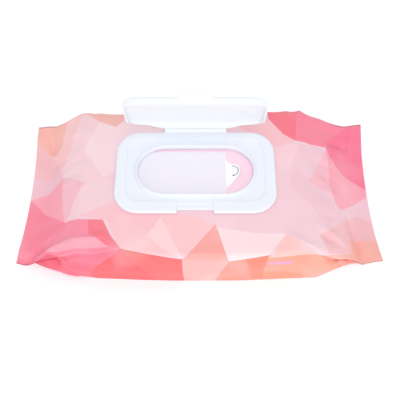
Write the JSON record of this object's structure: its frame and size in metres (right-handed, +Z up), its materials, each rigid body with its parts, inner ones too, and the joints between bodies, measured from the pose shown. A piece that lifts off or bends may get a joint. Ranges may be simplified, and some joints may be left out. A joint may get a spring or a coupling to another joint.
{
  "type": "wet wipes pack",
  "caption": "Flow-wrapped soft pack of wet wipes with sealed ends and gusseted sides, a peel-off label over the outlet, and a bonded flip-top closure with a hinged lid.",
  "frame": {"origin": "on the table under the middle of the pack", "axes": "+X along the pack towards its right-hand seal, +Y towards the lid's hinge, +Z up out of the face with the closure"},
  "size_m": [0.201, 0.1064, 0.0838],
  "materials": {
    "printed_film": "satin",
    "white_plastic": "satin",
    "label_film": "satin",
    "hot_melt": "matte"
  },
  "bodies": {
    "pack": {"sealed_pouch": "printed_film", "adhesive_ring": "hot_melt", "peel_label": "label_film", "flip_top_base": "white_plastic"},
    "lid": {"flip_top_lid": "white_plastic"}
  },
  "joints": [
    {"name": "lid_hinge", "type": "hinge", "parent": "pack", "child": "lid", "pos_m": [-0.0021, 0.033, 0.03045], "axis": [-1, 0, 0], "range_deg": [-67, 90]}
  ]
}
